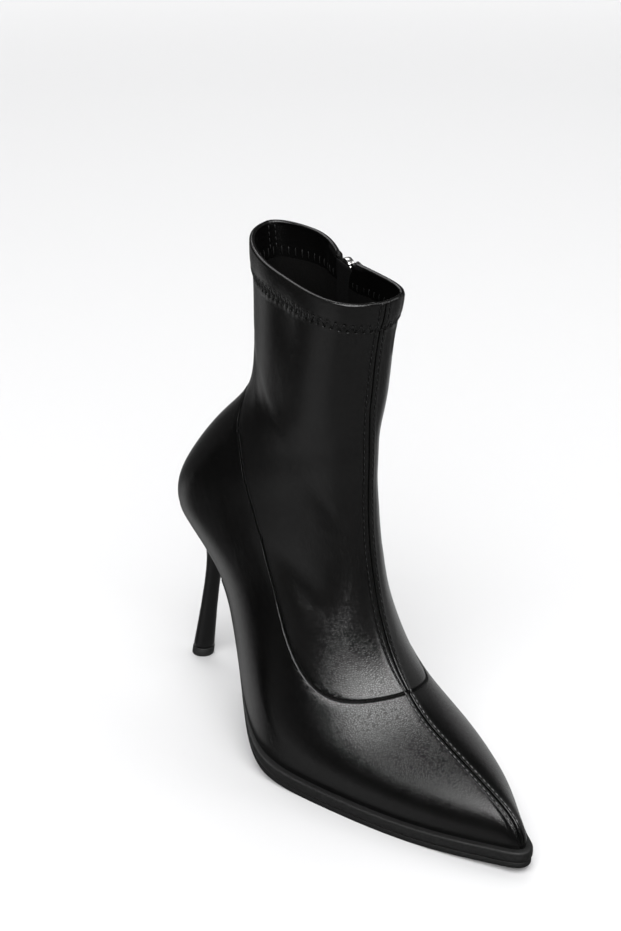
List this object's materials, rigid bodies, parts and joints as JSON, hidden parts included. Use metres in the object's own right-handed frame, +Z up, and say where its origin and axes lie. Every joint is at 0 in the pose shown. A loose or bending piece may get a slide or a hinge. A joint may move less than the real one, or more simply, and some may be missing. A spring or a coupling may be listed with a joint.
{
  "type": "ankle boot",
  "caption": "Right-foot sock ankle boot with a pointed toe, slim high heel and a zip up the inner side; hollow for a foot, and stands on its heel tip and forefoot.",
  "frame": {"origin": "on the floor, under the middle of the boot's box", "axes": "+X towards the toe, +Y towards the inner side of the foot, +Z up"},
  "size_m": [0.2264, 0.08, 0.2142],
  "materials": {
    "upper": "satin",
    "midsole": "matte",
    "outsole": "matte",
    "insole": "matte",
    "heel": "satin, wrapped in the upper's material",
    "heel_lift": "matte",
    "zip_tape": "woven",
    "zip_teeth": "nylon coil",
    "zip_slider": "nickel",
    "zip_pull": "nickel"
  },
  "bodies": {
    "boot": {"upper": "upper", "midsole": "midsole", "outsole": "outsole", "insole": "insole", "heel": "heel", "heel_lift": "heel_lift", "zip_tape": "zip_tape", "zip_teeth": "zip_teeth", "zip_slider": "zip_slider"},
    "pull": {"zip_pull": "zip_pull"}
  },
  "joints": [
    {"name": "zip_pull_hinge", "type": "hinge", "parent": "boot", "child": "pull", "pos_m": [-0.02583, 0.02288, 0.2034], "axis": [0.9614, -0.1991, -0.19], "range_deg": [0, 150]}
  ]
}
